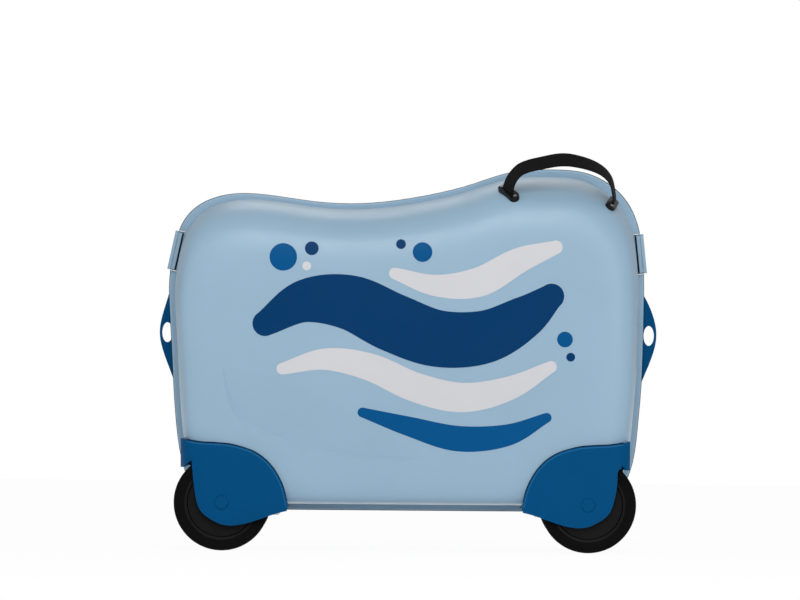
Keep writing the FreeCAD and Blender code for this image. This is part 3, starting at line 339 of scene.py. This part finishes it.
def printed(name, loop, ink, body, tree, back):
    """A printed shape laid on a shell: its outline and a fine grid, dropped on the surface along Y."""
    xs, zs = [p.x for p in loop], [p.y for p in loop]
    points = list(loop)
    x = min(xs)
    while x < max(xs):
        z = min(zs)
        while z < max(zs):
            spot = Vector((x, z))
            if inside(spot, loop) and min((spot - p).length for p in loop) > GRID * 0.45:
                points.append(spot)
            z += GRID
        x += GRID
    count = len(loop)
    edges = [(i, (i + 1) % count) for i in range(count)]
    flat, _, faces, *_ = delaunay_2d_cdt(points, edges, [list(range(count))], 1, 1e-4)
    sign = 1 if back else -1
    verts = []
    for p in flat:
        start = Vector((p.x * MM, sign * RAY_FROM, p.y * MM))
        hit, normal, _, _ = tree.ray_cast(start, Vector((0, -sign, 0)))
        if normal.y * sign < 0:
            normal = -normal
        verts.append(hit + normal * (INK_LIFT * MM))
    made = piece(name, verts, [list(f) for f in faces], INKS[ink], body)
    mesh = bmesh.new()
    mesh.from_mesh(made.data)
    bmesh.ops.recalc_face_normals(mesh, faces=mesh.faces)
    if sum(f.normal.y * f.calc_area() for f in mesh.faces) * sign < 0:
        bmesh.ops.reverse_faces(mesh, faces=mesh.faces)
    mesh.to_mesh(made.data)
    mesh.free()
    return made


for shell_name, back in (("front_shell", False), ("rear_shell", True)):
    tree = surface_tree(shell_name)
    for name, ink, loop in DESIGN:
        printed(("rear_" if back else "front_") + name, loop, ink, body_of[shell_name], tree, back)


# Carry handle: centre of the webbing in millimetres and the direction of its width, from inside to inside
HANDLE = [
    ((103.0, -72.5, 359.8), (0.523, -0.758, -0.388)),
    ((102.0, -76.2, 365.7), (0.523, -0.758, -0.388)),
    ((101.1, -79.2, 370.2), (0.523, -0.758, -0.388)),
    ((104.0, -83.1, 380.0), (0.375, -0.770, -0.516)),
    ((111.2, -87.2, 389.5), (0.207, -0.764, -0.611)),
    ((120.8, -90.1, 394.4), (0.081, -0.755, -0.651)),
    ((135.6, -91.9, 398.0), (0.081, -0.748, -0.659)),
    ((150.0, -92.5, 400.8), (0.087, -0.736, -0.672)),
    ((160.0, -92.0, 401.3), (0.063, -0.729, -0.682)),
    ((169.5, -90.3, 400.2), (0.021, -0.748, -0.663)),
    ((183.2, -87.4, 396.8), (0.009, -0.779, -0.627)),
    ((194.6, -83.3, 391.9), (0.012, -0.807, -0.591)),
    ((203.2, -78.1, 384.6), (-0.008, -0.825, -0.566)),
    ((207.8, -71.8, 375.0), (-0.084, -0.864, -0.496)),
    ((209.8, -64.5, 359.8), (-0.151, -0.957, -0.249)),
    ((206.4, -63.0, 355.8), (-0.151, -0.957, -0.249)),
    ((202.0, -60.9, 350.7), (-0.151, -0.957, -0.249)),
]


def webbing(name, stations, width, thickness, pitch, rib, body, material, slot):
    """Woven band: cross ribs down its middle, plain rolled edges, along a smooth run of stations."""
    centres = smooth_run([Vector(c) for c, w in stations], 24)
    widths = smooth_run([Vector(w) for c, w in stations], 24)
    lengths = [0.0]
    for a, b in zip(centres, centres[1:]):
        lengths.append(lengths[-1] + (b - a).length)
    total = lengths[-1]
    rows = int(total / (pitch / 5)) + 1
    columns = 22
    verts, faces = [], []
    j = 0
    for row in range(rows + 1):
        s = total * row / rows
        while j < len(lengths) - 2 and lengths[j + 1] < s:
            j += 1
        t = (s - lengths[j]) / max(1e-9, lengths[j + 1] - lengths[j])
        centre = centres[j].lerp(centres[j + 1], t)
        along = (centres[j + 1] - centres[j]).normalized()
        across = widths[j].lerp(widths[j + 1], t)
        across = (across - along * across.dot(along)).normalized()
        out = along.cross(across)
        wave_at = math.cos(2 * math.pi * s / pitch)
        ring = []
        for side in (1, -1):
            for k in range(columns + 1):
                u = -1 + 2 * k / columns
                u *= side
                edge = abs(u)
                half = thickness / 2 * (1 - max(0.0, edge - 0.86) / 0.14 * 0.55)
                lift = rib * wave_at if edge < 0.84 else 0.0
                lift += 0.5 * rib if 0.84 <= edge < 0.97 else 0.0
                ring.append(centre + across * (u * width / 2) + out * (side * (half - rib + lift)))
        base = len(verts)
        verts += [p * MM for p in ring]
        size = len(ring)
        if row:
            for k in range(size):
                a, b = base - size + k, base - size + (k + 1) % size
                faces.append((a, b, b + size, a + size))
    size = 2 * (columns + 1)
    faces.append(tuple(range(size))[::-1])
    faces.append(tuple(range(len(verts) - size, len(verts))))
    return piece(name, verts, faces, material, body)


# Width, thickness, and the ribs' pitch and height of the handle's webbing and of the packing straps
HANDLE_WEAVE = (20.0, 1.9, 2.4, 0.3)
STRAP_WEAVE = (24.6, 1.6, 2.4, 0.12)

handle = webbing(
    "handle_band", HANDLE, *HANDLE_WEAVE, "front_half", MATERIALS["handle_webbing"], "handle_webbing")
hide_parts("handle_webbing")
for side in ("left", "right"):
    low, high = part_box("packing_strap_" + side)
    y, z = (low.y + high.y) / 2 / MM, (low.z + high.z) / 2 / MM
    run = [(((low.x + (high.x - low.x) * t) / MM, y, z), (0, 0, 1)) for t in (0.0, 0.4, 0.7, 1.0)]
    strap = webbing(
        "strap_band_" + side, run, *STRAP_WEAVE, "rear_half", MATERIALS["lining_webbing"], "lining_webbing")
    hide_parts("packing_strap_" + side)


# Painted shadow and highlight along each wheel cover's upper edge: a dark bead stands for the shadow line
# between the cover and its shell, and a lighter bead for the light on the cover's rounded lip just inside
# it: the cover's upper edge from the wheel's middle, both middles, and each bead's offset from the edge,
# rise and radius
COVER_UPPER = [
    (36, 112.6), (22, 110.4), (6, 109.6), (-12, 107.6), (-34, 100.2), (-50.5, 86.5), (-62, 66.5),
    (-67.5, 44.5),
]
WHEEL_X = {"left": -189.0, "right": 185.0}
SHADOW_LINE_OFFSET, SHADOW_LINE_RISE, SHADOW_LINE_R = 0.45, 0.05, 0.55
LIP_HIGHLIGHT_OFFSET, LIP_HIGHLIGHT_RISE, LIP_HIGHLIGHT_R = -1.6, -0.35, 0.6
BEAD_SIDES = 8
# Painted highlight: a lighter blue than the cover, for the light caught on the cover's rounded lip.
LIP_HIGHLIGHT = plastic("lip", (16, 100, 150), 0.3, grain=0.05, specular=0.2)


def bead(name, points, radius, material, body):
    """Thin round bead along a run of points."""
    count = BEAD_SIDES
    verts, faces = [], []
    for i, point in enumerate(points):
        along = (points[min(i + 1, len(points) - 1)] - points[max(i - 1, 0)]).normalized()
        one = along.cross(Vector((0, 1, 0))).normalized()
        two = along.cross(one)
        for k in range(count):
            a = 2 * math.pi * k / count
            verts.append((point + (one * math.cos(a) + two * math.sin(a)) * radius) * MM)
        if i:
            for k in range(count):
                a, b = (i - 1) * count + k, (i - 1) * count + (k + 1) % count
                faces.append((a, b, b + count, a + count))
    faces.append(tuple(range(count))[::-1])
    faces.append(tuple(range(len(verts) - count, len(verts))))
    return piece(name, verts, faces, material, body)


def laid(line, tree, sign, lift):
    """Points of a flat line dropped on a surface along Y, lifted off it; a miss is left out."""
    out = []
    for p in line:
        hit = tree.ray_cast(Vector((p.x * MM, sign * RAY_FROM, p.y * MM)), Vector((0, -sign, 0)))[0]
        if hit is not None:
            out.append(hit / MM + Vector((0, sign * lift, 0)))
    return out


for end, sign in (("front", -1), ("rear", 1)):
    shell_tree = surface_tree(end + "_shell")
    for side, x_sign in (("left", -1), ("right", 1)):
        line = smooth_run([Vector((WHEEL_X[side] + x_sign * px, pz)) for px, pz in COVER_UPPER], 6)
        cover_tree = surface_tree("{}_wheel_housing_{}".format(end, side))
        outer, inner = [], []
        for i, p in enumerate(line):
            along = (line[min(i + 1, len(line) - 1)] - line[max(i - 1, 0)]).normalized()
            across = Vector((-along.y, along.x)) * x_sign
            if across.y < 0 and across.x * x_sign > 0:
                across = -across
            outer.append(p + across * SHADOW_LINE_OFFSET)
            inner.append(p + across * LIP_HIGHLIGHT_OFFSET)
        body = body_of[end + "_shell"]
        # Painted shadow: a dark seal-rubber bead along the shadow line between the cover and the shell.
        bead("{}_cover_joint_{}".format(end, side), laid(outer, shell_tree, sign, SHADOW_LINE_RISE), SHADOW_LINE_R,
             MATERIALS["seal_rubber"], body)
        # Painted highlight: the lighter blue bead along the cover's rounded lip.
        bead("{}_cover_lip_{}".format(end, side), laid(inner, cover_tree, sign, LIP_HIGHLIGHT_RISE), LIP_HIGHLIGHT_R,
             LIP_HIGHLIGHT, body)


# Painted shadow: a dark seal-rubber bead in the shadow gap along the inner side of each latch keeper: its
# middle and its direction in the rim's frame
LATCH_SHADOW_GAPS = {
    "left": (Vector((-235.74, -11.85, 305.28)), Vector((0.2105, 0.0, 0.9776))),
    "right": (Vector((234.72, -11.85, 305.77)), Vector((-0.1035, 0.0, 0.9946))),
}
SHADOW_GAP_HALF, SHADOW_GAP_R = 19.0, 0.8
for side, (middle, along) in LATCH_SHADOW_GAPS.items():
    run = [middle + along * t for t in (-SHADOW_GAP_HALF, 0.0, SHADOW_GAP_HALF)]
    # Painted shadow: dark seal rubber laid where the gap beside the keeper is in shade.
    bead("latch_gasket_" + side, run, SHADOW_GAP_R, MATERIALS["seal_rubber"], "front_half")


# Floor, backdrop, light and camera
FLOOR_SIZE = 9.0
FLOOR_GLOW = 0.95
WORLD_LEVEL = 0.47


def white_stage(name, size):
    """White floor that keeps a soft shadow."""
    mesh = bpy.data.meshes.new(name)
    s = size / 2
    mesh.from_pydata([(-s, -s, 0), (s, -s, 0), (s, s, 0), (-s, s, 0)], [], [(0, 1, 2, 3)])
    made = bpy.data.objects.new(name, mesh)
    bpy.context.scene.collection.objects.link(made)
    s = Shader(name)
    s.bsdf.inputs["Base Color"].default_value = (1, 1, 1, 1)
    s.bsdf.inputs["Roughness"].default_value = 0.9
    rays = s.add("ShaderNodeLightPath")
    glow = s.add("ShaderNodeEmission")
    mix = s.add("ShaderNodeMixShader")
    seen = s.math("MAXIMUM", rays.outputs["Is Camera Ray"], rays.outputs["Is Glossy Ray"])
    s.put(mix.inputs[0], s.math("MULTIPLY", seen, FLOOR_GLOW))
    s.put(mix.inputs[1], s.bsdf.outputs[0])
    s.put(mix.inputs[2], glow.outputs[0])
    s.put(s.tree.nodes["Material Output"].inputs["Surface"], mix.outputs[0])
    mesh.materials.append(s.material)
    return made


white_stage("floor", FLOOR_SIZE)

world = bpy.data.worlds.new("studio")
bpy.context.scene.world = world
world.use_nodes = True
tree = world.node_tree
back = tree.nodes["Background"]
rays = tree.nodes.new("ShaderNodeLightPath")
seen = tree.nodes.new("ShaderNodeMath")
seen.operation = "MAXIMUM"
tree.links.new(rays.outputs["Is Camera Ray"], seen.inputs[0])
tree.links.new(rays.outputs["Is Transmission Ray"], seen.inputs[1])
level = tree.nodes.new("ShaderNodeMapRange")
level.inputs["To Min"].default_value = WORLD_LEVEL
level.inputs["To Max"].default_value = 1.0
tree.links.new(seen.outputs[0], level.inputs["Value"])
tree.links.new(level.outputs["Result"], back.inputs["Strength"])
back.inputs["Color"].default_value = (1, 1, 1, 1)


def lamp(name, place, aim, size, watts, size_y=None):
    """Soft rectangular lamp aimed at a point."""
    data = bpy.data.lights.new(name, "AREA")
    data.shape = "RECTANGLE"
    data.size = size
    data.size_y = size_y or size
    data.energy = watts
    made = bpy.data.objects.new(name, data)
    bpy.context.scene.collection.objects.link(made)
    made.location = place
    made.rotation_euler = (Vector(aim) - Vector(place)).to_track_quat("-Z", "Y").to_euler()
    return made


lamp("front", (0.1, -3.3, 2.4), (0, 0, 0.24), 2.2, 60)
lamp("shoulder", (1.25, -2.7, 0.6), (0.2, 0, 0.27), 0.2, 7, 1.3)
lamp("fill", (-2.2, -1.8, 0.9), (0, 0, 0.2), 1.6, 3)
lamp("back", (0.2, 2.4, 2.2), (0, 0, 0.3), 1.6, 8)

camera_data = bpy.data.cameras.new("camera")
camera = bpy.data.objects.new("camera", camera_data)
bpy.context.scene.collection.objects.link(camera)
bpy.context.scene.camera = camera
camera_data.sensor_width = SENSOR
camera_data.lens = SENSOR * (CAMERA_FROM - FACE_FROM) / (PHOTO_SCALE * PHOTO_WIDTH * MM)
camera_data.clip_end = 200.0
c, s = math.cos(PHOTO_ROLL), math.sin(PHOTO_ROLL)
middle_x = PHOTO_SCALE * (PHOTO_MIDDLE[0] * c - PHOTO_MIDDLE[1] * s) + PHOTO_SHIFT
middle_z = PHOTO_SCALE * (PHOTO_MIDDLE[0] * s + PHOTO_MIDDLE[1] * c)
camera.matrix_world = Matrix((
    (c, -s, 0, middle_x * MM),
    (0, 0, -1, -CAMERA_FROM),
    (s, c, 0, middle_z * MM),
    (0, 0, 0, 1),
))

bpy.context.scene.view_settings.view_transform = "Standard"
